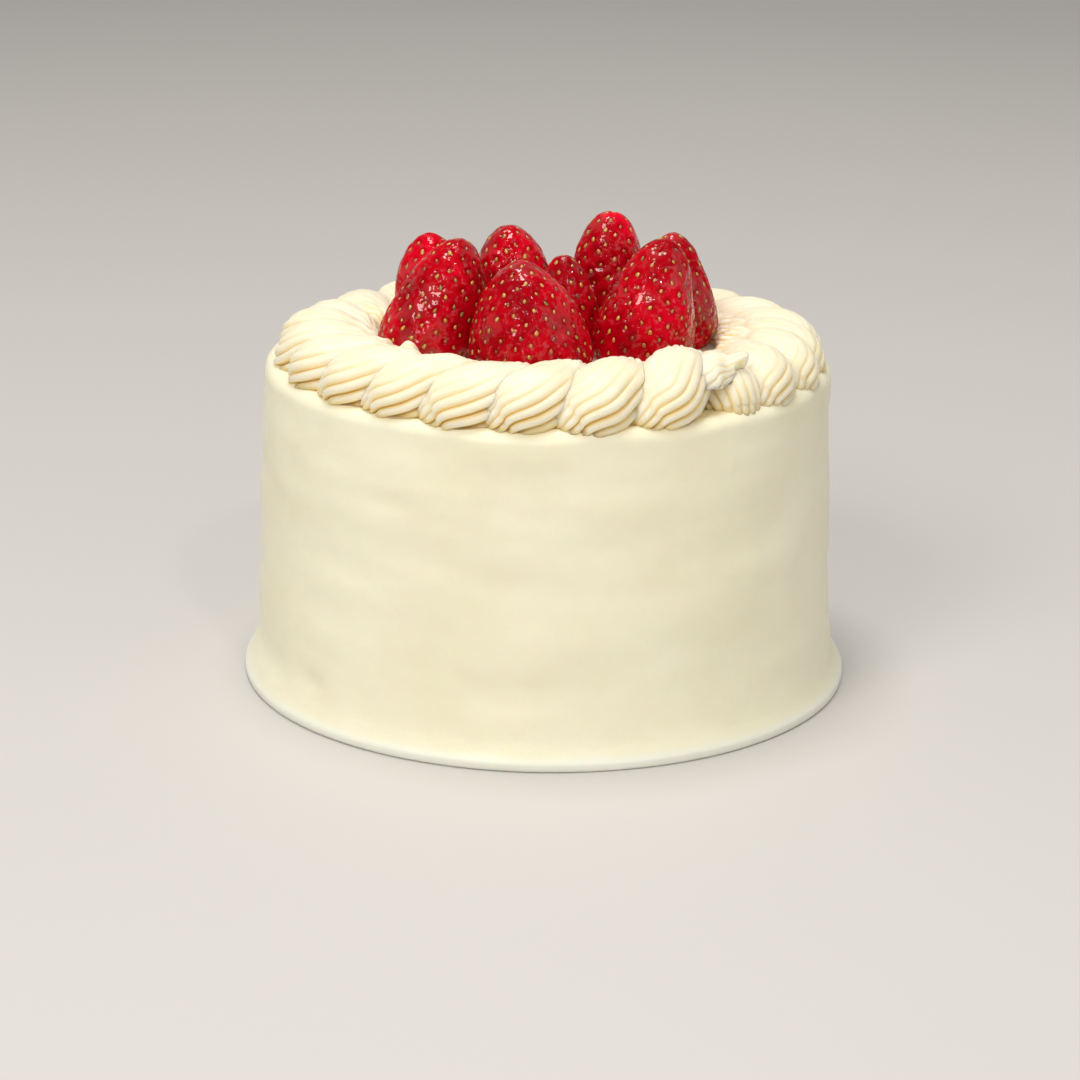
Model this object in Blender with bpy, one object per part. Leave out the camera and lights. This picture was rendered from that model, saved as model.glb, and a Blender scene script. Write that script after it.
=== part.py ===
"""A round layer cake coated in cream, with a piped ring of cream shells and whole glazed strawberries.

Metres, +Z up. The origin is the centre of the flat underside, so the cake stands on Z = 0.
Azimuths are counter-clockwise from +X; the front of the cake is at -Y.
"""

import math

import bmesh
import bpy
from mathutils import Matrix, Vector

# Coated body
CAKE_HEIGHT = 0.0880
TOP_RADIUS = 0.0763
BELLY_RADIUS = 0.0793
FOOT_FLARE = 0.0036
FOOT_FLARE_HEIGHT = 0.0042
FOOT_LIP_HEIGHT = 0.0022
FOOT_LIP_ROUND = 0.0009
SHOULDER_ROUND = 0.0045
BODY_SEGMENTS = 56

# Piped ring. Each shell follows the nozzle: it starts at the outer rim, climbs, and is drawn inward and
# counter-clockwise, where the next shell covers its tail. Rows are outward of the ring radius, onward round
# the ring, height above the cake top, and radius of the cream.
SHELLS_ROUND = 24
SHELL_PITCH = math.tau / SHELLS_ROUND
FIRST_SHELL_AZIMUTH = math.radians(-58.9)
RING_RADIUS = 0.0620
RING_CENTRE = Vector((0.0008, -0.0025, 0.0))
RING_SQUEEZE = Vector((0.978, 0.970, 1.0))
BACK_DROP = 0.0024
SHELL_PATH = (
    (0.0048, -0.0028, -0.0002, 0.0074),
    (0.0042, 0.0015, 0.0024, 0.0092),
    (0.0004, 0.0065, 0.0036, 0.0094),
    (-0.0054, 0.0125, 0.0038, 0.0082),
    (-0.0100, 0.0175, 0.0028, 0.0052),
)
FIRST_PATH = (
    (0.0052, 0.0060, -0.0020, 0.0074),
    (0.0034, 0.0064, 0.0010, 0.0086),
    (-0.0015, 0.0080, 0.0026, 0.0084),
    (-0.0070, 0.0120, 0.0034, 0.0074),
    (-0.0105, 0.0165, 0.0026, 0.0046),
)
# The last shell lies on the first one and ends in a blunt peak
LAST_PATH = (
    (0.0020, -0.0055, 0.0025, 0.0060),
    (0.0030, -0.0025, 0.0050, 0.0068),
    (0.0034, 0.0010, 0.0062, 0.0066),
    (0.0042, 0.0040, 0.0060, 0.0058),
    (0.0050, 0.0062, 0.0052, 0.0048),
)
CURVE_STATIONS = 4
CAP_ANGLE = math.radians(42)
CAP_LENGTH = 0.85

# Seams between shells: slanted flat faces
SEAM_RADIUS = 0.0705
SEAM_TURN = math.radians(50)
SEAM_OVERHANG = math.radians(12)
LAST_SEAM_RADIUS = 0.0730
LAST_SEAM_HEIGHT = 0.0050
LAST_SEAM_SLOPE = math.radians(19)

# Star nozzle
STAR_TEETH = 14
GROOVE_DEPTH = 0.16
TWIST = 1.4

# Touching pieces keep this gap
GAP = 0.0003
SHORTEST_EDGE = 0.00012

# Strawberries, tip up: name, x, y, radius, height, lean of the tip in x and in y, squareness of the flank
STRAWBERRIES = (
    ("strawberry_front", -0.0042, -0.0274, 0.0161, 0.0312, -0.0026, 0.0010, 1.62),
    ("strawberry_left", -0.0326, -0.0106, 0.0142, 0.0328, 0.0090, -0.0008, 1.72),
    ("strawberry_right", 0.0240, -0.0138, 0.0134, 0.0343, 0.0062, 0.0010, 1.62),
    ("strawberry_centre", 0.0042, 0.0000, 0.0096, 0.0266, 0.0000, 0.0000, 1.80),
    ("strawberry_back_left", -0.0306, 0.0162, 0.0113, 0.0285, -0.0020, -0.0012, 1.80),
    ("strawberry_back_right", 0.0344, 0.0122, 0.0118, 0.0305, -0.0012, -0.0005, 1.65),
    ("strawberry_rear_left", -0.0092, 0.0254, 0.0113, 0.0295, -0.0016, 0.0000, 2.10),
    ("strawberry_rear_right", 0.0157, 0.0254, 0.0102, 0.0333, 0.0010, 0.0000, 2.20),
)
BERRY_WIDEST_AT = 0.22
BERRY_BASE_SHARE = 0.70
BERRY_SEGMENTS = 16
BERRY_RINGS_BELOW = 2
BERRY_RINGS_ABOVE = 6
BERRY_LOBE = 0.015


def clear_scene():
    for existing in list(bpy.data.objects):
        bpy.data.objects.remove(existing)


def food_material(name, colour, roughness, coat):
    """A Principled material; colour is linear RGB."""
    material = bpy.data.materials.new(name)
    material.use_nodes = True
    shader = material.node_tree.nodes["Principled BSDF"]
    shader.inputs["Base Color"].default_value = (*colour, 1.0)
    shader.inputs["Roughness"].default_value = roughness
    shader.inputs["Metallic"].default_value = 0.0
    shader.inputs["Coat Weight"].default_value = coat
    return material


def add_object(name, mesh_builder, material, sharp_angle):
    """Turns a bmesh into a named object with outward faces and smooth shading."""
    bmesh.ops.recalc_face_normals(mesh_builder, faces=mesh_builder.faces)
    mesh = bpy.data.meshes.new(name)
    mesh_builder.to_mesh(mesh)
    mesh_builder.free()
    mesh.materials.append(material)
    mesh.shade_smooth()
    mesh.set_sharp_from_angle(angle=sharp_angle)
    piece = bpy.data.objects.new(name, mesh)
    bpy.context.scene.collection.objects.link(piece)
    return piece


def turned(outline, segments):
    """A closed body made by turning an outline of (radius, height) about Z, from axis to axis."""
    builder = bmesh.new()
    verts = [builder.verts.new((radius, 0.0, height)) for radius, height in outline]
    edges = [builder.edges.new(pair) for pair in zip(verts, verts[1:])]
    bmesh.ops.spin(
        builder,
        geom=verts + edges,
        cent=(0, 0, 0),
        axis=(0, 0, 1),
        angle=math.tau,
        steps=segments,
        use_merge=True,
    )
    bmesh.ops.remove_doubles(builder, verts=builder.verts, dist=1e-6)
    return builder


def arc(centre, radius, start, end, steps):
    """Points of an arc in the (radius, height) plane, with the angles in degrees."""
    angles = [math.radians(start + (end - start) * i / steps) for i in range(steps + 1)]
    return [(centre[0] + radius * math.cos(a), centre[1] + radius * math.sin(a)) for a in angles]


def side_radius(height):
    """The coat narrows slightly to the top and flares where it meets the table."""
    taper = BELLY_RADIUS + (TOP_RADIUS - BELLY_RADIUS) * height / CAKE_HEIGHT
    return taper + FOOT_FLARE * math.exp(-(height - FOOT_LIP_HEIGHT) / FOOT_FLARE_HEIGHT)


def body_outline():
    lip = side_radius(FOOT_LIP_HEIGHT)
    outline = [(0.0, 0.0)]
    outline += arc((lip - FOOT_LIP_ROUND, FOOT_LIP_ROUND), FOOT_LIP_ROUND, -90, 0, 2)
    flare_heights = [FOOT_LIP_HEIGHT + FOOT_FLARE_HEIGHT * step for step in (0.0, 0.35, 0.8, 1.4, 2.4)]
    side_heights = [CAKE_HEIGHT * share for share in (0.32, 0.64)]
    outline += [(side_radius(height), height) for height in flare_heights + side_heights]
    shoulder_z = CAKE_HEIGHT - SHOULDER_ROUND
    shoulder_r = side_radius(shoulder_z) - SHOULDER_ROUND
    outline += arc((shoulder_r, shoulder_z), SHOULDER_ROUND, 0, 90, 4)
    outline.append((0.0, CAKE_HEIGHT))
    return outline


def make_body(material):
    return add_object("cake_body", turned(body_outline(), BODY_SEGMENTS), material, math.radians(60))


def ring_axes(azimuth):
    """Unit vectors outward and counter-clockwise at an azimuth."""
    outward = Vector((math.cos(azimuth), math.sin(azimuth), 0.0))
    onward = Vector((-math.sin(azimuth), math.cos(azimuth), 0.0))
    return outward, onward


def ring_place(azimuth, radius, height):
    """A point of the piped ring, which is slightly squeezed, sits off the centre and sinks towards the back."""
    outward, _ = ring_axes(azimuth)
    place = outward * radius * RING_SQUEEZE + RING_CENTRE
    place.z = CAKE_HEIGHT + height - BACK_DROP * (1.0 + outward.y)
    return place


def curve_point(spots, share):
    """Centre and radius on the smooth curve through the spots, at a share of its length."""
    padded = [2 * spots[0] - spots[1], *spots, 2 * spots[-1] - spots[-2]]
    reach = share * (len(spots) - 1)
    piece = min(int(reach), len(spots) - 2)
    t = reach - piece
    before, start, end, after = padded[piece : piece + 4]
    return 0.5 * (
        2 * start
        + (end - before) * t
        + (2 * before - 5 * start + 4 * end - after) * t**2
        + (3 * start - before - 3 * end + after) * t**3
    )


def tube_rings(path, middle):
    """Centre, direction and radius of every ring of a shell, with a pole point before and after them."""
    spots = []
    for out, on, up, radius in path:
        place = ring_place(middle + on / RING_RADIUS, RING_RADIUS + out, up)
        spots.append(Vector((*place, radius)))
    rings = []
    for station in range(CURVE_STATIONS):
        share = station / (CURVE_STATIONS - 1)
        here = curve_point(spots, share)
        ahead = curve_point(spots, min(1.0, share + 0.05))
        behind = curve_point(spots, max(0.0, share - 0.05))
        rings.append((here.xyz, (ahead - behind).xyz.normalized(), here.w))
    start, way_in, start_radius = rings[0]
    end, way_out, end_radius = rings[-1]
    reach = CAP_LENGTH * math.cos(CAP_ANGLE)
    cap = (start - way_in * start_radius * reach, way_in, start_radius * math.sin(CAP_ANGLE))
    tail = (end + way_out * end_radius * reach, way_out, end_radius * math.sin(CAP_ANGLE))
    poles = (start - way_in * start_radius * CAP_LENGTH, end + way_out * end_radius * CAP_LENGTH)
    return [cap, *rings, tail], poles


def cut_off(builder, point, normal):
    """Removes what lies past a plane and closes the cut with a flat face."""
    cut = bmesh.ops.bisect_plane(
        builder,
        geom=builder.verts[:] + builder.edges[:] + builder.faces[:],
        dist=1e-6,
        plane_co=point,
        plane_no=normal,
        clear_outer=True,
    )
    rim = [item for item in cut["geom_cut"] if isinstance(item, bmesh.types.BMEdge)]
    bmesh.ops.holes_fill(builder, edges=rim, sides=0)


def seam_plane(index):
    """Point and normal of the slanted face between shell index - 1 and shell index."""
    azimuth = FIRST_SHELL_AZIMUTH + SHELL_PITCH * index
    outward, onward = ring_axes(azimuth)
    across = onward * math.sin(SEAM_TURN) + outward * math.cos(SEAM_TURN)
    normal = across * math.cos(SEAM_OVERHANG) + Vector((0, 0, math.sin(SEAM_OVERHANG)))
    return ring_place(azimuth, SEAM_RADIUS, 0.0), normal


def last_seam_plane():
    """Point and normal of the face on which the last shell lies on the first."""
    azimuth = FIRST_SHELL_AZIMUTH + SHELL_PITCH / 2
    outward, _ = ring_axes(azimuth)
    normal = outward * math.sin(LAST_SEAM_SLOPE) + Vector((0, 0, math.cos(LAST_SEAM_SLOPE)))
    return ring_place(azimuth, LAST_SEAM_RADIUS, LAST_SEAM_HEIGHT), normal


def make_shell(index, material):
    """One piped shell: a pleated tube with a round head and a drawn-out tail, cut flat below and at its seams."""
    first = index == 0
    last = index == SHELLS_ROUND
    sector = 0 if last else index
    path = FIRST_PATH if first else LAST_PATH if last else SHELL_PATH
    rings, poles = tube_rings(path, FIRST_SHELL_AZIMUTH + SHELL_PITCH * (sector + 0.5))
    columns = 2 * STAR_TEETH
    builder = bmesh.new()
    loops = []
    for row, (centre, way, radius) in enumerate(rings):
        side = way.cross(Vector((0, 0, 1))).normalized()
        over = side.cross(way)
        twist = -TWIST * row / (len(rings) - 1)
        loop = []
        for column in range(columns):
            turn = math.tau * column / columns + twist
            reach = radius * (1.0 - GROOVE_DEPTH * (column % 2))
            spot = centre + (over * math.cos(turn) + side * math.sin(turn)) * reach
            loop.append(builder.verts.new(spot))
        loops.append(loop)
    head, tail = [builder.verts.new(pole) for pole in poles]
    for column in range(columns):
        onward = (column + 1) % columns
        builder.faces.new((head, loops[0][onward], loops[0][column]))
        builder.faces.new((tail, loops[-1][column], loops[-1][onward]))
        for near, far in zip(loops, loops[1:]):
            builder.faces.new((near[column], near[onward], far[onward], far[column]))
    bmesh.ops.triangulate(builder, faces=builder.faces)

    cut_off(builder, Vector((0, 0, CAKE_HEIGHT + GAP)), Vector((0, 0, -1)))
    point, normal = seam_plane(sector)
    cut_off(builder, point + normal * GAP / 2, -normal)
    point, normal = seam_plane(sector + 1)
    cut_off(builder, point - normal * GAP / 2, normal)
    point, normal = last_seam_plane()
    if first:
        cut_off(builder, point - normal * GAP / 2, normal)
    if last:
        cut_off(builder, point + normal * GAP / 2, -normal)
    bmesh.ops.remove_doubles(builder, verts=builder.verts, dist=SHORTEST_EDGE)
    bmesh.ops.triangulate(builder, faces=builder.faces)
    bmesh.ops.dissolve_degenerate(builder, edges=builder.edges, dist=SHORTEST_EDGE / 2)
    return add_object(f"shell_{index + 1:02d}", builder, material, math.radians(50))


def berry_outline(radius, height, squareness):
    """Half section of a strawberry from its flat stem end up to its tip."""
    widest = height * BERRY_WIDEST_AT
    outline = [(0.0, 0.0)]
    for step in range(BERRY_RINGS_BELOW):
        share = 1.0 - step / BERRY_RINGS_BELOW
        narrowing = (1.0 - BERRY_BASE_SHARE) * share**2
        outline.append((radius * (1.0 - narrowing), widest * (1.0 - share)))
    for step in range(BERRY_RINGS_ABOVE):
        turn = math.radians(90) * step / BERRY_RINGS_ABOVE
        share = math.sin(turn) ** (2.0 / squareness)
        outline.append((radius * math.cos(turn) ** (2.0 / squareness), widest + (height - widest) * share))
    outline.append((0.0, height))
    return outline


def make_strawberry(index, row, material):
    name, x, y, radius, height, lean_x, lean_y, squareness = row
    builder = turned(berry_outline(radius, height, squareness), BERRY_SEGMENTS)
    for vert in builder.verts:
        azimuth = math.atan2(vert.co.y, vert.co.x)
        lobes = 1.0 + BERRY_LOBE * math.cos(3 * azimuth + 1.7 * index)
        share = (vert.co.z / height) ** 1.3
        vert.co.x = vert.co.x * lobes + lean_x * share
        vert.co.y = vert.co.y * lobes + lean_y * share
    builder.transform(Matrix.Translation((x, y, CAKE_HEIGHT + GAP)))
    return add_object(name, builder, material, math.radians(60))


clear_scene()
coat = food_material("cream_coat", (0.82, 0.78, 0.60), 0.45, 0.0)
piping = food_material("piped_cream", (0.95, 0.90, 0.70), 0.40, 0.0)
glazed_red = food_material("glazed_strawberry", (0.45, 0.005, 0.012), 0.20, 1.0)
make_body(coat)
for shell_index in range(SHELLS_ROUND + 1):
    make_shell(shell_index, piping)
for berry_index, berry_row in enumerate(STRAWBERRIES):
    make_strawberry(berry_index, berry_row, glazed_red)
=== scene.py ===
"""Looks of the strawberry cake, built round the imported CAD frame. Metres, +Z up, front of the cake at -Y."""

import math
import random

import bmesh
import bpy
import numpy as np
from mathutils import Matrix, Vector


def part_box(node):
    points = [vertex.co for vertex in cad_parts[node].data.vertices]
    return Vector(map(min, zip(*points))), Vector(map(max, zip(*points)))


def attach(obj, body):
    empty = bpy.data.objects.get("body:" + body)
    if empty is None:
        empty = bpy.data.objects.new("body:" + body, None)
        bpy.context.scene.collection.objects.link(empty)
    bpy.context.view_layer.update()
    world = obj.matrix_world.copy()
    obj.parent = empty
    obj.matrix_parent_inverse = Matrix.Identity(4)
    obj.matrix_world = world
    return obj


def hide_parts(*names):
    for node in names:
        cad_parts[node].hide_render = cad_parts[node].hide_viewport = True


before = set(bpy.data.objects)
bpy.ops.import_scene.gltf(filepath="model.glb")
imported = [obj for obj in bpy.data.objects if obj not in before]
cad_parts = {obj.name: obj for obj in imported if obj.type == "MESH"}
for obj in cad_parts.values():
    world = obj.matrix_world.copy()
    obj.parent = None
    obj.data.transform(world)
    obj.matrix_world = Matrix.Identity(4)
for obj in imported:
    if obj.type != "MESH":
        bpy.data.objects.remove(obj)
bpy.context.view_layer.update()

MM = 0.001
UP = np.array((0.0, 0.0, 1.0))

# Cake coat, as in the CAD source
TOP_RADIUS = 0.0763
BELLY_RADIUS = 0.0793
FOOT_FLARE = 0.0036
FOOT_FLARE_HEIGHT = 0.0042
FOOT_LIP_HEIGHT = 0.0022
FOOT_LIP_ROUND = 0.0009
SHOULDER_ROUND = 0.0045

# Piped shells, as in the CAD source
FIRST_SHELL_AZIMUTH = math.radians(-58.9)
SHELLS_ROUND = 24

# Strawberries, as in the CAD source
BERRY_WIDEST_AT = 0.22
BERRY_BASE_SHARE = 0.70

# Seeds, which are only in the looks
SEED_SPACING = 0.0040
SEED_SIZE = (0.00135, 0.00090, 0.00058)

cake_low, cake_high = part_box("cake_body")
CAKE_TOP = cake_high.z
shell_names = sorted(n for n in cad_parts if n.startswith("shell_"))
berry_names = sorted(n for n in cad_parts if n.startswith("strawberry_"))


# ---------------------------------------------------------------- noise and mesh helpers

LATTICE = 32
LATTICE_SHIFT = 7.3


def lattice_noise(points, scale, seed):
    """Smooth noise from -1 to 1 at each point; scale is its lumps' size in metres, or one size per axis."""
    table = np.random.default_rng(seed).uniform(-1, 1, (LATTICE,) * 3)
    p = points / np.asarray(scale, float) + LATTICE_SHIFT
    cell = np.floor(p).astype(int)
    f = p - cell
    f = f * f * f * (f * (f * 6 - 15) + 10)
    total = np.zeros(len(points))
    for dx in (0, 1):
        for dy in (0, 1):
            for dz in (0, 1):
                weight = (
                    (f[:, 0] if dx else 1 - f[:, 0])
                    * (f[:, 1] if dy else 1 - f[:, 1])
                    * (f[:, 2] if dz else 1 - f[:, 2])
                )
                corner = (cell + (dx, dy, dz)) % LATTICE
                total += weight * table[tuple(corner.T)]
    return total


def grid_faces(rows, columns):
    """Faces of a tube of rows x columns vertices, closed round, with a pole vertex before and after it."""
    faces = []
    for r in range(rows - 1):
        here = 1 + r * columns
        ahead = here + columns
        for c in range(columns):
            d = (c + 1) % columns
            faces.append((here + c, here + d, ahead + d, ahead + c))
    last_ring = 1 + (rows - 1) * columns
    last_pole = 1 + rows * columns
    for c in range(columns):
        d = (c + 1) % columns
        faces.append((0, 1 + d, 1 + c))
        faces.append((last_ring + c, last_ring + d, last_pole))
    return faces


def mesh_piece(name, points, faces, material, attributes=None):
    mesh = bpy.data.meshes.new(name)
    mesh.from_pydata([tuple(p) for p in points], [], faces)
    for key, values in (attributes or {}).items():
        layer = mesh.attributes.new(key, "FLOAT", "POINT")
        layer.data.foreach_set("value", np.asarray(values, np.float32))
    mesh.validate()
    mesh.update()
    mesh.shade_smooth()
    mesh.materials.append(material)
    piece = bpy.data.objects.new(name, mesh)
    bpy.context.scene.collection.objects.link(piece)
    return piece


def finish_piece(piece, node=None):
    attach(piece, "root")
    if node:
        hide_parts(node)


# ---------------------------------------------------------------- materials

class Nodes:
    """Short names for building one material's node tree."""

    def __init__(self, name):
        self.material = bpy.data.materials.new(name)
        self.material.use_nodes = True
        self.tree = self.material.node_tree
        self.shader = self.tree.nodes["Principled BSDF"]

    def add(self, kind, **values):
        node = self.tree.nodes.new(kind)
        for key, value in values.items():
            if hasattr(node, key):
                setattr(node, key, value)
            else:
                node.inputs[key.replace("_", " ")].default_value = value
        return node

    def link(self, source, target):
        self.tree.links.new(source, target)

    def set(self, **values):
        for key, value in values.items():
            self.shader.inputs[key.replace("_", " ")].default_value = value

    def noise(self, scale, detail=3.0, roughness=0.5):
        node = self.add("ShaderNodeTexNoise", Scale=scale, Detail=detail, Roughness=roughness)
        self.link(self.place, node.inputs["Vector"])
        return node.outputs["Fac"]

    @property
    def place(self):
        if not hasattr(self, "_place"):
            self._place = self.add("ShaderNodeTexCoord").outputs["Object"]
        return self._place

    def ramp(self, source, stops):
        node = self.add("ShaderNodeValToRGB")
        elements = node.color_ramp.elements
        while len(elements) < len(stops):
            elements.new(0.5)
        for element, (position, colour) in zip(elements, stops):
            element.position = position
            element.color = (*colour, 1.0)
        self.link(source, node.inputs["Fac"])
        return node.outputs["Color"]

    def mix(self, factor, a, b):
        node = self.add("ShaderNodeMix", data_type="RGBA")
        colour_a = [s for s in node.inputs if s.name == "A" and s.type == "RGBA"][0]
        colour_b = [s for s in node.inputs if s.name == "B" and s.type == "RGBA"][0]
        factor_in = [s for s in node.inputs if s.name == "Factor" and s.type == "VALUE"][0]
        for socket, value in ((factor_in, factor), (colour_a, a), (colour_b, b)):
            if isinstance(value, bpy.types.NodeSocket):
                self.link(value, socket)
            elif isinstance(value, tuple):
                socket.default_value = (*value, 1.0)
            else:
                socket.default_value = value
        return [s for s in node.outputs if s.type == "RGBA"][0]

    def math(self, operation, a, b=0.0):
        node = self.add("ShaderNodeMath", operation=operation)
        for socket, value in zip(node.inputs, (a, b)):
            if isinstance(value, bpy.types.NodeSocket):
                self.link(value, socket)
            else:
                socket.default_value = value
        return node.outputs["Value"]

    def attribute(self, name):
        return self.add("ShaderNodeAttribute", attribute_name=name).outputs["Fac"]

    def bump(self, height, distance, strength=1.0, before=None):
        node = self.add("ShaderNodeBump", Distance=distance, Strength=strength)
        self.link(height, node.inputs["Height"])
        if before is not None:
            self.link(before, node.inputs["Normal"])
        return node.outputs["Normal"]


def linear(level):
    share = level / 255
    return share / 12.92 if share <= 0.04045 else ((share + 0.055) / 1.055) ** 2.4


def srgb(r, g, b):
    """Linear colour from 0-255 sRGB."""
    return linear(r), linear(g), linear(b)


def coat_material():
    n = Nodes("cream_coat")
    tone = n.ramp(n.noise(28.0, 4.0, 0.55), [(0.35, srgb(239, 233, 204)), (0.65, srgb(246, 241, 217))])
    streak = n.noise(60.0, 2.0)
    colour = n.mix(n.math("MULTIPLY", streak, 0.25), tone, srgb(234, 229, 194))
    # a warm tint where the ring stands is painted light, for light scattered between the creams; the foot's lip
    # is painted paler and whiter, a painted reflection of the pale surface the cake stands on
    colour = n.mix(n.math("MULTIPLY", n.attribute("glow"), 0.35), colour, srgb(255, 232, 166))
    colour = n.mix(n.math("MULTIPLY", n.attribute("foot"), 0.8), colour, srgb(236, 237, 226))
    n.link(colour, n.shader.inputs["Base Color"])
    n.set(Roughness=0.42, Subsurface_Weight=0.30, Subsurface_Scale=0.006, Coat_Weight=0.0)
    n.shader.inputs["Subsurface Radius"].default_value = (1.0, 0.72, 0.38)
    rough = n.ramp(n.noise(90.0, 3.0), [(0.3, (0.36,) * 3), (0.7, (0.50,) * 3)])
    n.link(rough, n.shader.inputs["Roughness"])
    broad = n.bump(n.noise(120.0, 3.0, 0.5), 0.0006, 0.35)
    fine = n.bump(n.noise(900.0, 2.0, 0.5), 0.00008, 0.5, before=broad)
    n.link(fine, n.shader.inputs["Normal"])
    return n.material


def piping_material():
    n = Nodes("piped_cream")
    tone = n.ramp(n.noise(70.0, 3.0), [(0.35, srgb(237, 227, 196)), (0.65, srgb(242, 234, 208))])
    # a warm tint in the creases stands in for light scattered deep in the cream
    crease = n.math("MULTIPLY", n.attribute("crease"), 0.9)
    colour = n.mix(crease, tone, srgb(255, 208, 100))
    n.link(colour, n.shader.inputs["Base Color"])
    n.set(Roughness=0.45, Specular_IOR_Level=0.35, Subsurface_Weight=0.70, Subsurface_Scale=0.006)
    n.shader.inputs["Subsurface Radius"].default_value = (1.0, 0.95, 0.70)
    fine = n.bump(n.noise(700.0, 3.0, 0.6), 0.00012, 0.4)
    n.link(fine, n.shader.inputs["Normal"])
    return n.material


def berry_material():
    n = Nodes("glazed_strawberry")
    flesh = n.ramp(
        n.noise(60.0, 3.0, 0.6),
        [(0.30, srgb(140, 0, 12)), (0.50, srgb(186, 0, 20)), (0.70, srgb(222, 0, 36))],
    )
    # the seed dimples are painted darker red: painted shade in the pits
    pit = n.math("MULTIPLY", n.attribute("pit"), 0.6)
    colour = n.mix(pit, flesh, srgb(96, 0, 6))
    n.link(colour, n.shader.inputs["Base Color"])
    n.set(Roughness=0.32, Subsurface_Weight=0.10, Subsurface_Scale=0.002, Coat_Roughness=0.015)
    n.set(Coat_IOR=1.54, Specular_IOR_Level=0.02)
    n.shader.inputs["Subsurface Radius"].default_value = (1.0, 0.15, 0.10)
    # thick glaze lies in patches and specks, with a thin film between them
    patches = n.ramp(n.noise(95.0, 4.0, 0.62), [(0.50, (0.07,) * 3), (0.53, (1.0,) * 3)])
    specks = n.ramp(n.noise(760.0, 1.0), [(0.56, (0.0,) * 3), (0.60, (1.0,) * 3)])
    n.link(n.math("MAXIMUM", patches, specks), n.shader.inputs["Coat Weight"])
    lumps = n.bump(n.noise(210.0, 1.0, 0.5), 0.0012, 0.5)
    ripples = n.bump(n.noise(500.0, 1.0, 0.5), 0.0008, 0.75, before=lumps)
    n.link(lumps, n.shader.inputs["Normal"])
    n.link(ripples, n.shader.inputs["Coat Normal"])
    return n.material


def seed_material():
    n = Nodes("strawberry_seed")
    tone = n.ramp(
        n.noise(160.0, 2.0),
        [
            (0.32, srgb(128, 56, 12)),
            (0.44, srgb(180, 112, 30)),
            (0.56, srgb(206, 158, 66)),
            (0.68, srgb(120, 108, 28)),
        ],
    )
    n.link(tone, n.shader.inputs["Base Color"])
    n.set(Roughness=0.35, Coat_Weight=0.8, Coat_Roughness=0.06)
    fine = n.bump(n.noise(2500.0, 2.0), 0.0001, 0.4)
    n.link(fine, n.shader.inputs["Normal"])
    return n.material


def floor_material():
    n = Nodes("studio_floor")
    tone = n.ramp(n.noise(1.5, 2.0), [(0.3, (0.57, 0.555, 0.53)), (0.7, (0.59, 0.575, 0.55))])
    n.link(tone, n.shader.inputs["Base Color"])
    n.set(Roughness=0.7)
    return n.material


# ---------------------------------------------------------------- cake coat

COAT_COLUMNS = 320
COAT_STEP = 0.0011
COAT_FINE_STEP = 0.0005


def side_radius(height):
    taper = BELLY_RADIUS + (TOP_RADIUS - BELLY_RADIUS) * height / CAKE_TOP
    return taper + FOOT_FLARE * math.exp(-(height - FOOT_LIP_HEIGHT) / FOOT_FLARE_HEIGHT)


def run_of(start, end, step):
    count = max(1, round(abs(end - start) / step))
    return [start + (end - start) * i / count for i in range(1, count + 1)]


def arc(centre, radius, start, end, steps):
    angles = [math.radians(start + (end - start) * i / steps) for i in range(1, steps + 1)]
    return [(centre[0] + radius * math.cos(a), centre[1] + radius * math.sin(a)) for a in angles]


def coat_outline():
    """(radius, height) from near the axis below, round the side, to near the axis on top."""
    lip = side_radius(FOOT_LIP_HEIGHT)
    outline = [(0.004, 0.0)]
    outline += [(r, 0.0) for r in run_of(0.004, lip - FOOT_LIP_ROUND, 0.012)]
    outline += arc((lip - FOOT_LIP_ROUND, FOOT_LIP_ROUND), FOOT_LIP_ROUND, -90, 0, 4)
    outline += [(lip, z) for z in run_of(FOOT_LIP_ROUND, FOOT_LIP_HEIGHT, COAT_FINE_STEP)]
    outline += [(side_radius(z), z) for z in run_of(FOOT_LIP_HEIGHT, 0.012, COAT_FINE_STEP)]
    shoulder_z = CAKE_TOP - SHOULDER_ROUND
    outline += [(side_radius(z), z) for z in run_of(0.012, shoulder_z, COAT_STEP)]
    shoulder_r = side_radius(shoulder_z) - SHOULDER_ROUND
    outline += arc((shoulder_r, shoulder_z), SHOULDER_ROUND, 0, 90, 12)
    outline += [(r, CAKE_TOP) for r in run_of(shoulder_r, 0.060, COAT_STEP)]
    outline += [(r, CAKE_TOP) for r in run_of(0.060, 0.003, 0.0025)]
    return outline


# Marks the palette knife left: azimuth in degrees, height, width along the side, height of the mark, depth
KNIFE_MARKS = (
    (-122.0, 0.066, 0.020, 0.0050, 0.0005),
    (-103.0, 0.050, 0.030, 0.0080, 0.0004),
    (-78.0, 0.058, 0.026, 0.0060, 0.0004),
    (-140.0, 0.012, 0.010, 0.0060, 0.0010),
    (-60.0, 0.030, 0.034, 0.0100, 0.0005),
    (-38.0, 0.060, 0.020, 0.0090, 0.0005),
    (-95.0, 0.022, 0.036, 0.0080, 0.0004),
)


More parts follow.
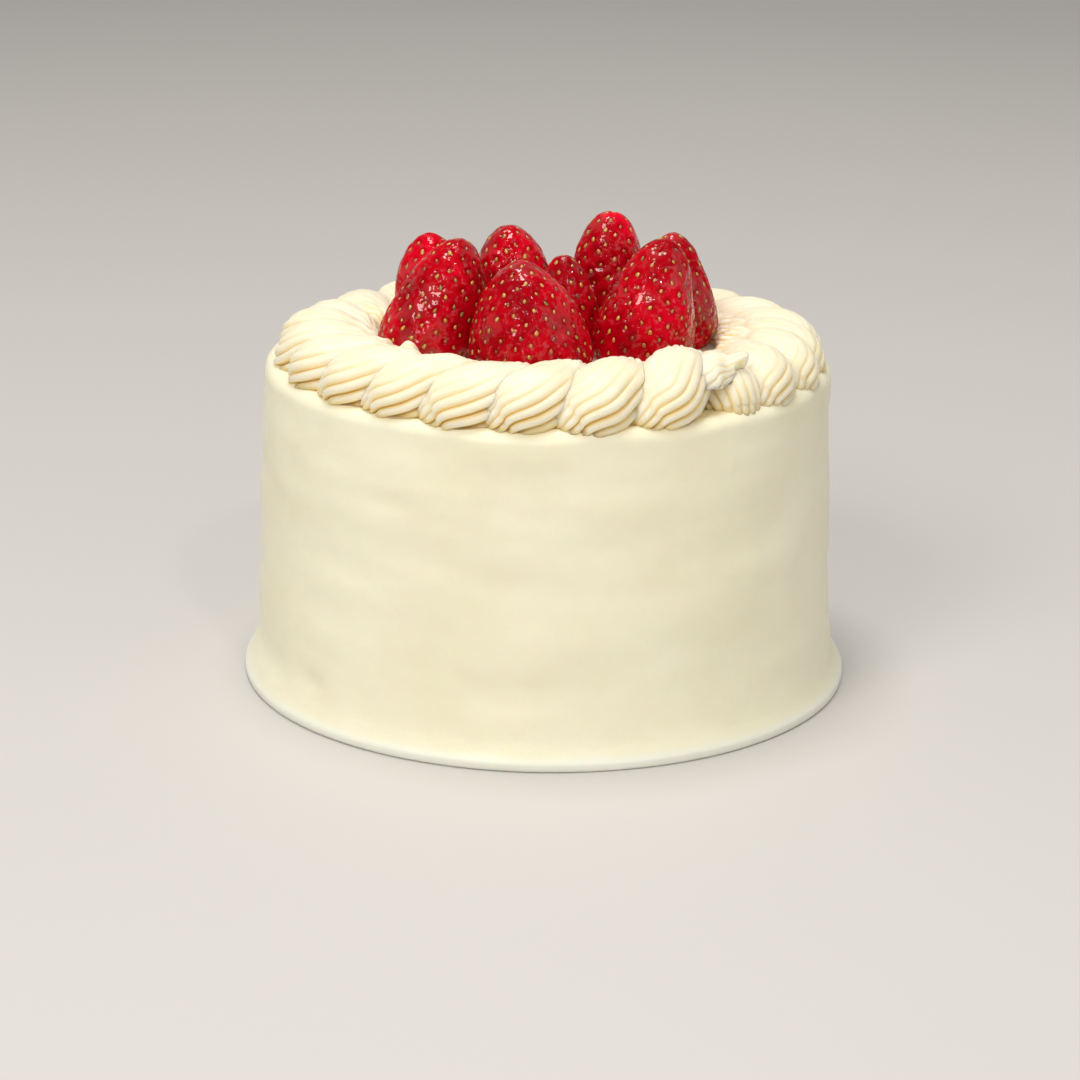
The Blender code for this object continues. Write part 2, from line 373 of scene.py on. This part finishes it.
def make_coat(material):
    outline = np.array(coat_outline())
    rows = len(outline)
    slope = np.gradient(outline, axis=0)
    normal = np.stack([slope[:, 1], -slope[:, 0]], 1)
    normal /= np.linalg.norm(normal, axis=1)[:, None]
    azimuth = np.arange(COAT_COLUMNS) * math.tau / COAT_COLUMNS
    outward = np.stack([np.cos(azimuth), np.sin(azimuth)], 1)
    points = np.zeros((rows, COAT_COLUMNS, 3))
    points[:, :, :2] = outline[:, None, :1] * outward[None]
    points[:, :, 2] = outline[:, None, 1]
    points = points.reshape(-1, 3)
    push = np.zeros((rows, COAT_COLUMNS, 3))
    push[:, :, :2] = normal[:, None, :1] * outward[None]
    push[:, :, 2] = normal[:, None, 1]
    push = push.reshape(-1, 3)
    turn = np.tile(azimuth, rows)
    height = points[:, 2]
    amount = 0.00090 * lattice_noise(points, (0.045, 0.045, 0.024), 11)
    amount += 0.00045 * lattice_noise(points, (0.024, 0.024, 0.007), 12)
    amount += 0.00007 * lattice_noise(points, (0.005, 0.005, 0.003), 13)
    for degrees, z, width, tall, depth in KNIFE_MARKS:
        away = (turn - math.radians(degrees) + math.pi) % math.tau - math.pi
        amount -= depth * np.exp(-((away * BELLY_RADIUS / width * 2) ** 2) - ((height - z) / tall * 2) ** 2)
    still = np.clip(height / 0.006, 0, 1)
    points = points + push * (amount * still)[:, None]
    low = (0.0, 0.0, 0.0)
    high = (0.0, 0.0, points[-COAT_COLUMNS:, 2].mean())
    points = np.vstack([[low], points, [high]])
    radius = np.hypot(points[:, 0], points[:, 1])
    # masks of painted light on the coat: glow for warm scattered light round the ring, foot for a painted
    # reflection on the foot's lip
    glow = np.exp(-(((radius - RING_RADIUS - 0.009) / 0.0035) ** 2)) * (points[:, 2] > CAKE_TOP - 0.003)
    foot = np.clip((0.0042 - points[:, 2]) / 0.0020, 0, 1)
    marks = {"glow": glow, "foot": foot}
    piece = mesh_piece("cream_coat", points, grid_faces(rows, COAT_COLUMNS), material, marks)
    finish_piece(piece, "cake_body")


# ---------------------------------------------------------------- piped shells

STAR_TEETH = 19
COLUMNS_PER_TOOTH = 9
SHELL_COLUMNS = STAR_TEETH * COLUMNS_PER_TOOTH
CAP_ROWS = 9
CAP_ANGLES = (8, 82)
CAP_STRETCH = 0.85
END_STRETCH = 0.9
LAST_END_STRETCH = 0.55
TUBE_ROWS = 34
RING_RADIUS = 0.062
RING_CENTRE = (0.0008, -0.0025)
RING_SQUEEZE = (0.978, 0.970)
BACK_DROP = 0.0024
GROOVE_DEPTH = 0.275
TWIST = 1.7
FIRST_TWIST = 0.2
LAST_TWIST = 0.6
GROOVE_SHARPNESS = 3.0
TAIL_ROUGHNESS = 0.0019
HEAD_ROUGHNESS = 0.00025
PEAK_LENGTH = 0.0048
SINK = 0.0006

# The path of the nozzle, in mm: outward of the ring radius, onward round the ring, above the cake top, and the
# radius of the cream there
SHELL_PATH = (
    (4.8, -2.8, -0.2, 7.4),
    (4.2, 1.5, 2.4, 9.2),
    (0.4, 6.5, 3.6, 9.4),
    (-5.4, 12.5, 3.8, 8.2),
    (-10.6, 18.0, 4.6, 5.4),
)
FIRST_PATH = (
    (5.2, 6.0, -2.0, 7.4),
    (3.4, 6.4, 1.0, 8.6),
    (-1.5, 8.0, 2.6, 8.4),
    (-7.0, 12.0, 3.4, 7.4),
    (-10.6, 16.5, 2.6, 4.6),
)
# The last shell lies on the first one and is drawn out to a peak. This path is a little higher than the CAD
# source's.
LAST_PATH = (
    (1.4, -6.5, 3.6, 6.2),
    (2.6, -3.0, 5.6, 7.0),
    (3.2, 0.8, 6.8, 6.8),
    (4.2, 3.4, 7.4, 5.4),
    (5.0, 5.2, 7.8, 3.8),
)
LAST_SHELL = "shell_25"
LAST_SEAM_RADIUS = 0.0730
LAST_SEAM_HEIGHT = 0.0054
LAST_SEAM_SLOPE = math.radians(19)
# Shells, counted from the first, whose tails are more ragged or end higher than the rest, and by how much
ROUGH_TAILS = {17: 1.5, 18: 1.7, 19: 1.6, 20: 1.4}
HIGH_TAILS = {23: 2.4, 22: 0.8, 2: 0.8, 9: 0.7, 16: 1.0}


def smooth_path(points, count):
    """Catmull-Rom curve through the points, with the count of even steps between the first and the last."""
    p = np.vstack([2 * points[0] - points[1], points, 2 * points[-1] - points[-2]])
    spot = np.linspace(0, len(points) - 1, count)
    piece = np.minimum(spot.astype(int), len(points) - 2)
    t = (spot - piece)[:, None]
    a, b, c, d = p[piece], p[piece + 1], p[piece + 2], p[piece + 3]
    return 0.5 * (2 * b + (c - a) * t + (2 * a - 5 * b + 4 * c - d) * t**2 + (3 * b - a - 3 * c + d) * t**3)


def unit(v):
    return v / (np.linalg.norm(v, axis=-1, keepdims=True) + 1e-12)


def top_of_cake(points):
    """Height of the coat under each point: flat, then down over the rounded shoulder."""
    flat_radius = side_radius(CAKE_TOP - SHOULDER_ROUND) - SHOULDER_ROUND
    past = np.clip(np.hypot(points[:, 0], points[:, 1]) - flat_radius, 0, SHOULDER_ROUND * 0.98)
    return CAKE_TOP - SHOULDER_ROUND + np.sqrt(SHOULDER_ROUND**2 - past**2)


def make_shell(index, name, material):
    chance = random.Random(500 + index)
    first = index == 0
    last = name == LAST_SHELL
    place = 0 if last else index
    middle = FIRST_SHELL_AZIMUTH + math.tau / SHELLS_ROUND * (place + 0.5) + chance.uniform(-0.010, 0.010)
    path = np.array(FIRST_PATH if first else LAST_PATH if last else SHELL_PATH) * MM
    path[:, 2] += chance.uniform(-0.3, 0.4) * MM
    path[:, 3] *= chance.uniform(0.96, 1.05)
    path[:, 0] += chance.uniform(-0.4, 0.4) * MM
    path[2:, 2] += HIGH_TAILS.get(index, chance.uniform(-0.5, 0.5)) * MM
    azimuth = middle + path[:, 1] / RING_RADIUS
    radius = RING_RADIUS + path[:, 0]
    spots = np.stack([radius * np.cos(azimuth), radius * np.sin(azimuth), CAKE_TOP + path[:, 2], path[:, 3]], 1)
    spots[:, 2] -= BACK_DROP * (1 + np.sin(azimuth))
    spots[:, :2] = spots[:, :2] * RING_SQUEEZE + RING_CENTRE
    curve = smooth_path(spots, TUBE_ROWS)
    tangent = unit(np.gradient(curve[:, :3], axis=0))
    # round cap, tube, drawn-out end: centre, half width and direction of every row
    angles = np.radians(np.linspace(*CAP_ANGLES, CAP_ROWS))[:, None]
    cap = curve[0, :3] - tangent[0] * curve[0, 3] * CAP_STRETCH * np.cos(angles)
    end_stretch = LAST_END_STRETCH if last else END_STRETCH
    end = curve[-1, :3] + tangent[-1] * curve[-1, 3] * end_stretch * np.cos(angles[::-1])
    centres = np.vstack([cap, curve[:, :3], end])
    cap_widths = np.sin(angles[:, 0])
    widths = np.concatenate([curve[0, 3] * cap_widths, curve[:, 3], curve[-1, 3] * cap_widths[::-1]])
    ways = np.vstack([np.tile(tangent[0], (CAP_ROWS, 1)), tangent, np.tile(tangent[-1], (CAP_ROWS, 1))])
    rows = len(centres)
    side = unit(np.cross(ways, UP))
    over = np.cross(side, ways)
    steps = np.linalg.norm(np.diff(centres, axis=0), axis=1) + 0.3 * np.abs(np.diff(widths))
    run = (np.concatenate([[0], np.cumsum(steps)]) / steps.sum())[:, None]
    full_twist = FIRST_TWIST if first else LAST_TWIST if last else TWIST * chance.uniform(0.85, 1.15)
    twist = -full_twist * run**1.3
    turn = (np.arange(SHELL_COLUMNS) * math.tau / SHELL_COLUMNS)[None] + twist + chance.uniform(0, 0.4)
    phase = (np.arange(SHELL_COLUMNS) / COLUMNS_PER_TOOTH) % 1.0
    groove = np.tile(np.abs(2 * phase - 1) ** GROOVE_SHARPNESS, (rows, 1))
    out = np.cos(turn)[:, :, None] * over[:, None] + np.sin(turn)[:, :, None] * side[:, None]
    crown = np.clip((out[:, :, 2] - 0.05) / 0.75, 0, 1) ** 0.8
    tail = np.clip((run - 0.66) / 0.3, 0, 1)
    # the pleats are shallow at the start and over the crown, and come back in the tail a little fainter
    depth = GROOVE_DEPTH * (0.6 if last else 1.0) * (1 - 0.92 * crown * (1 - tail))
    depth = depth * np.clip(run * 5 + 0.35, 0, 1) * (1 - 0.35 * run)
    reach = widths[:, None] * (1.04 - depth * groove)
    points = (centres[:, None] + out * reach[:, :, None]).reshape(-1, 3)
    flat_out = out.reshape(-1, 3)
    share = np.repeat(run[:, 0], SHELL_COLUMNS)
    tail_rough = TAIL_ROUGHNESS * ROUGH_TAILS.get(index, 1.0)
    rough = HEAD_ROUGHNESS + tail_rough * np.clip(share - 0.58, 0, 1) / 0.42
    points = points + flat_out * (rough * lattice_noise(points, 0.0048, 40 + index))[:, None]
    points = points + flat_out * (0.35 * rough * lattice_noise(points, 0.0022, 140 + index))[:, None]
    if last:
        peak = np.exp(-((np.arange(rows)[:, None] - (rows - 4)) / 3.5) ** 2)
        peak = peak * np.exp(-((np.cos(turn - 0.1) - 1) / 0.10) ** 2)
        points = points + (peak.reshape(-1, 1)) * (PEAK_LENGTH * unit(tangent[-1] + 0.30 * UP))
    floor = top_of_cake(points) - SINK
    if last:
        inward = LAST_SEAM_RADIUS - np.hypot(points[:, 0] - RING_CENTRE[0], points[:, 1] - RING_CENTRE[1])
        floor = np.maximum(floor, CAKE_TOP + LAST_SEAM_HEIGHT + inward * math.tan(LAST_SEAM_SLOPE))
    points[:, 2] = np.maximum(points[:, 2], floor)
    low = cap[0] - tangent[0] * curve[0, 3] * 0.01
    high = end[-1] + tangent[-1] * curve[-1, 3] * 0.01
    low[2] = max(low[2], CAKE_TOP - SINK)
    points = np.vstack([[low], points, [high]])
    crease = np.clip(1.4 * groove * depth / GROOVE_DEPTH, 0, 1).reshape(-1)
    crease = np.concatenate([[1], crease, [0]])
    # the crease tint also reaches the shell's foot on the cake top: painted warm scattered light in the shade
    # where the shell meets the coat
    above = points[:, 2] - top_of_cake(points)
    crease = np.maximum(crease, 0.8 * np.clip(1 - above / 0.0018, 0, 1))
    piece = mesh_piece(name + "_cream", points, grid_faces(rows, SHELL_COLUMNS), material, {"crease": crease})
    finish_piece(piece, name)


# ---------------------------------------------------------------- strawberries

BERRY_COLUMNS = 200
BERRY_ROWS = 84
PIT_DEPTH = 0.00035
PIT_RADIUS = 0.00110
SKIN_LIFT = 0.0002
SWELL = 0.0007
SWELL_SIZE = 0.011


def berry_shape(name):
    """Base centre, radius, height and tip lean, read from the CAD node."""
    co = np.array([v.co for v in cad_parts[name].data.vertices])
    low, high = co[:, 2].min(), co[:, 2].max()
    base = co[co[:, 2] < low + 1e-5]
    tip = co[np.argmax(co[:, 2])]
    base_centre = (base.min(0) + base.max(0)) / 2
    level = low + (high - low) * BERRY_WIDEST_AT
    ring = co[np.abs(co[:, 2] - level) < 0.0004]
    radius = (ring.max(0) - ring.min(0))[:2].mean() / 2
    return base_centre, radius, high - low, tip - base_centre


def flank_squareness(name, radius, height):
    """The superellipse power that fits the CAD node's rings above its widest level."""
    co = np.array([v.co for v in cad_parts[name].data.vertices])
    low = co[:, 2].min()
    levels = sorted(set(np.round(co[:, 2], 5)))
    best, best_error = 2.0, 1e9
    for power in np.arange(1.4, 2.6, 0.02):
        error = 0.0
        for level in levels:
            share = (level - low) / height
            if share < BERRY_WIDEST_AT + 0.05 or share > 0.95:
                continue
            ring = co[np.abs(co[:, 2] - level) < 2e-5]
            wide = (ring.max(0) - ring.min(0))[:2].mean() / 2
            s = (share - BERRY_WIDEST_AT) / (1 - BERRY_WIDEST_AT)
            error += (wide / radius - (1 - s**power) ** (1 / power)) ** 2
        if error < best_error:
            best, best_error = power, error
    return best


def berry_radius_at(share, radius, power):
    """Radius of a strawberry at a share of its height, from 0 at the stem end to 1 at the tip."""
    below = np.clip(1 - share / BERRY_WIDEST_AT, 0, 1)
    above = np.clip((share - BERRY_WIDEST_AT) / (1 - BERRY_WIDEST_AT), 0, 1)
    low_part = 1 - (1 - BERRY_BASE_SHARE) * below**2
    high_part = np.maximum(1 - above**power, 0) ** (1 / power)
    return radius * np.where(share < BERRY_WIDEST_AT, low_part, high_part)


def berry_point(share, turn, shape, power, index):
    base, radius, height, lean = shape
    r = berry_radius_at(share, radius, power)
    lobes = 1 + 0.015 * np.cos(3 * turn + 1.7 * index) + 0.012 * np.cos(2 * turn + 0.9 * index)
    bend = share**1.3
    return np.stack(
        [
            base[0] + r * np.cos(turn) * lobes + lean[0] * bend,
            base[1] + r * np.sin(turn) * lobes + lean[1] * bend,
            base[2] + share * height,
        ],
        -1,
    )


def even_shares(shape, power, count):
    """Shares of the height at even steps along the outline, from the stem end, stopping short of the tip."""
    fine = 1 - (1 - np.linspace(0, 1, 2000)) ** 2
    r = berry_radius_at(fine, shape[1], power)
    length = np.concatenate([[0], np.cumsum(np.hypot(np.diff(r), np.diff(fine) * shape[2]))])
    return np.interp(np.linspace(0, length[-1], count + 2)[:count], length, fine)


def seed_places(shape, power, index):
    """Shares and azimuths of the seeds, on a spiral with even areas."""
    fine = 1 - (1 - np.linspace(0, 1, 2000)) ** 2
    r = berry_radius_at(fine, shape[1], power)
    step = np.hypot(np.diff(r), np.diff(fine) * shape[2])
    area = np.concatenate([[0], np.cumsum(step * math.tau * (r[1:] + r[:-1]) / 2)])
    count = int(area[-1] / (SEED_SPACING**2 * 0.87))
    chance = np.random.default_rng(900 + index)
    spot = np.arange(count) + 0.6 + chance.uniform(-1.6, 1.6, count)
    shares = np.interp(np.clip(spot / count, 0.002, 0.998) * area[-1], area, fine)
    turns = np.arange(count) * math.radians(137.508) + chance.uniform(-0.07, 0.07, count) + index
    return shares, turns


def surface_frame(shares, turns, shape, power, index):
    """Points on the skin with unit vectors out of it and up along it."""
    here = berry_point(shares, turns, shape, power, index)
    ahead = berry_point(np.minimum(shares + 0.004, 1), turns, shape, power, index)
    behind = berry_point(np.maximum(shares - 0.004, 0), turns, shape, power, index)
    beside = berry_point(shares, turns + 0.01, shape, power, index)
    up = ahead - behind
    up /= np.linalg.norm(up, axis=1)[:, None] + 1e-12
    side = beside - here
    side /= np.linalg.norm(side, axis=1)[:, None] + 1e-12
    out = np.cross(side, up)
    out /= np.linalg.norm(out, axis=1)[:, None] + 1e-12
    return here, out, up


def make_berry(index, name, material, seed_rows):
    shape = berry_shape(name)
    power = flank_squareness(name, shape[1], shape[2])
    share = even_shares(shape, power, BERRY_ROWS)
    turn = np.arange(BERRY_COLUMNS) * math.tau / BERRY_COLUMNS
    shares, turns = [a.ravel() for a in np.meshgrid(share, turn, indexing="ij")]
    here, out, up = surface_frame(shares, turns, shape, power, index)
    seed_share, seed_turn = seed_places(shape, power, index)
    seeds, seed_out, seed_up = surface_frame(seed_share, seed_turn, shape, power, index)
    nearest = np.full(len(here), 1e9)
    for chunk in np.array_split(np.arange(len(seeds)), 8):
        gap = np.linalg.norm(here[:, None] - seeds[None, chunk], axis=2).min(1)
        nearest = np.minimum(nearest, gap)
    # pit marks the seeds' dimples, both for the dent and for the painted shade in them
    pit = np.exp(-((nearest / PIT_RADIUS) ** 2))
    swell = SWELL * lattice_noise(here, SWELL_SIZE, 70 + index)
    swell += 0.00010 * lattice_noise(here, 0.0022, 80 + index)
    here = here + out * (swell - PIT_DEPTH * pit + SKIN_LIFT)[:, None]
    low = here[:BERRY_COLUMNS].mean(0)
    tip = berry_point(np.array([1.0]), np.array([0.0]), shape, power, index)[0]
    points = np.vstack([[low], here, [tip]])
    pits = np.concatenate([[0], pit, [0]])
    piece = mesh_piece(name + "_skin", points, grid_faces(BERRY_ROWS, BERRY_COLUMNS), material, {"pit": pits})
    finish_piece(piece, name)
    lift = SWELL * lattice_noise(seeds, SWELL_SIZE, 70 + index) - PIT_DEPTH + SKIN_LIFT
    seed_rows.append((seeds + seed_out * lift[:, None], seed_out, seed_up))


def make_seeds(seed_rows, material):
    ball = bpy.data.meshes.new("seed_ball")
    builder = bmesh.new()
    bmesh.ops.create_icosphere(builder, subdivisions=2, radius=1.0)
    ball_points = np.array([v.co for v in builder.verts])
    ball_faces = np.array([[v.index for v in f.verts] for f in builder.faces])
    builder.free()
    points, faces, offset = [], [], 0
    chance = np.random.default_rng(77)
    for places, outs, ups in seed_rows:
        for place, out, up in zip(places, outs, ups):
            side = np.cross(up, out)
            scale = np.array(SEED_SIZE) / 2 * chance.uniform(0.75, 1.25) * chance.uniform(0.85, 1.15, 3)
            tilt = chance.uniform(-0.6, 0.6)
            long_way = up * math.cos(tilt) + side * math.sin(tilt)
            wide_way = side * math.cos(tilt) - up * math.sin(tilt)
            taper = 1 - 0.25 * ball_points[:, 0]
            body = (
                ball_points[:, :1] * long_way * scale[0]
                + (ball_points[:, 1] * taper)[:, None] * wide_way * scale[1]
                + ball_points[:, 2:] * out * scale[2]
            )
            points.append(place + body)
            faces.append(ball_faces + offset)
            offset += len(ball_points)
    piece = mesh_piece("strawberry_seeds", np.vstack(points), np.vstack(faces).tolist(), material)
    finish_piece(piece)


# ---------------------------------------------------------------- studio

CAMERA_PLACE = (0.0010, -0.7621, 0.2826)
CAMERA_PITCH = math.radians(18.0)
CAMERA_ROLL = math.radians(0.73)
CAMERA_YAW = math.radians(0.19)
CAMERA_LENS = 97.0
FLOOR_HALF = 6.0
# Name, place, aim, diameter in metres, watts and colour
LIGHTS = (
    ("key", (-0.60, -1.00, 0.95), (0, 0, 0.05), 0.60, 7.9, (1.0, 0.98, 0.94)),
    ("spark", (0.35, -1.00, 1.05), (0, 0, 0.08), 0.12, 2.0, (1.0, 0.98, 0.96)),
    ("glint", (-0.16, -1.00, 0.52), (0, 0, 0.09), 0.09, 0.45, (1.0, 0.97, 0.98)),
    ("fill", (1.1, -0.9, 0.7), (0, 0, 0.05), 1.2, 2.0, (1.0, 0.97, 0.93)),
    ("top", (-0.1, 0.05, 1.6), (0, 0, 0.05), 0.7, 14.5, (1.0, 0.98, 0.96)),
)


def make_camera():
    data = bpy.data.cameras.new("camera")
    data.lens = CAMERA_LENS
    data.sensor_width = 36.0
    data.clip_end = 50.0
    camera = bpy.data.objects.new("camera", data)
    bpy.context.scene.collection.objects.link(camera)
    camera.matrix_world = (
        Matrix.Translation(CAMERA_PLACE)
        @ Matrix.Rotation(CAMERA_YAW, 4, "Z")
        @ Matrix.Rotation(math.radians(90) - CAMERA_PITCH, 4, "X")
        @ Matrix.Rotation(CAMERA_ROLL, 4, "Z")
    )
    bpy.context.scene.camera = camera


def area_light(name, place, target, size, power, colour):
    data = bpy.data.lights.new(name, "AREA")
    data.shape = "DISK"
    data.size = size
    data.energy = power
    data.color = colour
    light = bpy.data.objects.new(name, data)
    bpy.context.scene.collection.objects.link(light)
    light.location = place
    light.rotation_euler = (Vector(target) - Vector(place)).to_track_quat("-Z", "Y").to_euler()


def make_studio():
    floor_mesh = bpy.data.meshes.new("studio_floor")
    half = FLOOR_HALF
    corners = [(-half, -half, 0), (half, -half, 0), (half, half, 0), (-half, half, 0)]
    floor_mesh.from_pydata(corners, [], [(0, 1, 2, 3)])
    floor_mesh.materials.append(floor_material())
    floor = bpy.data.objects.new("studio_floor", floor_mesh)
    bpy.context.scene.collection.objects.link(floor)
    for light in LIGHTS:
        area_light(*light)
    world = bpy.data.worlds.new("studio_world")
    world.use_nodes = True
    background = world.node_tree.nodes["Background"]
    background.inputs["Color"].default_value = (1.0, 0.965, 0.92, 1.0)
    background.inputs["Strength"].default_value = 0.38
    bpy.context.scene.world = world
    bpy.context.scene.view_settings.view_transform = "Standard"


make_coat(coat_material())
piped = piping_material()
for shell_index, shell_name in enumerate(shell_names):
    make_shell(shell_index, shell_name, piped)
skin = berry_material()
seed_table = []
for berry_index, berry_name in enumerate(berry_names):
    make_berry(berry_index, berry_name, skin, seed_table)
make_seeds(seed_table, seed_material())
make_camera()
make_studio()
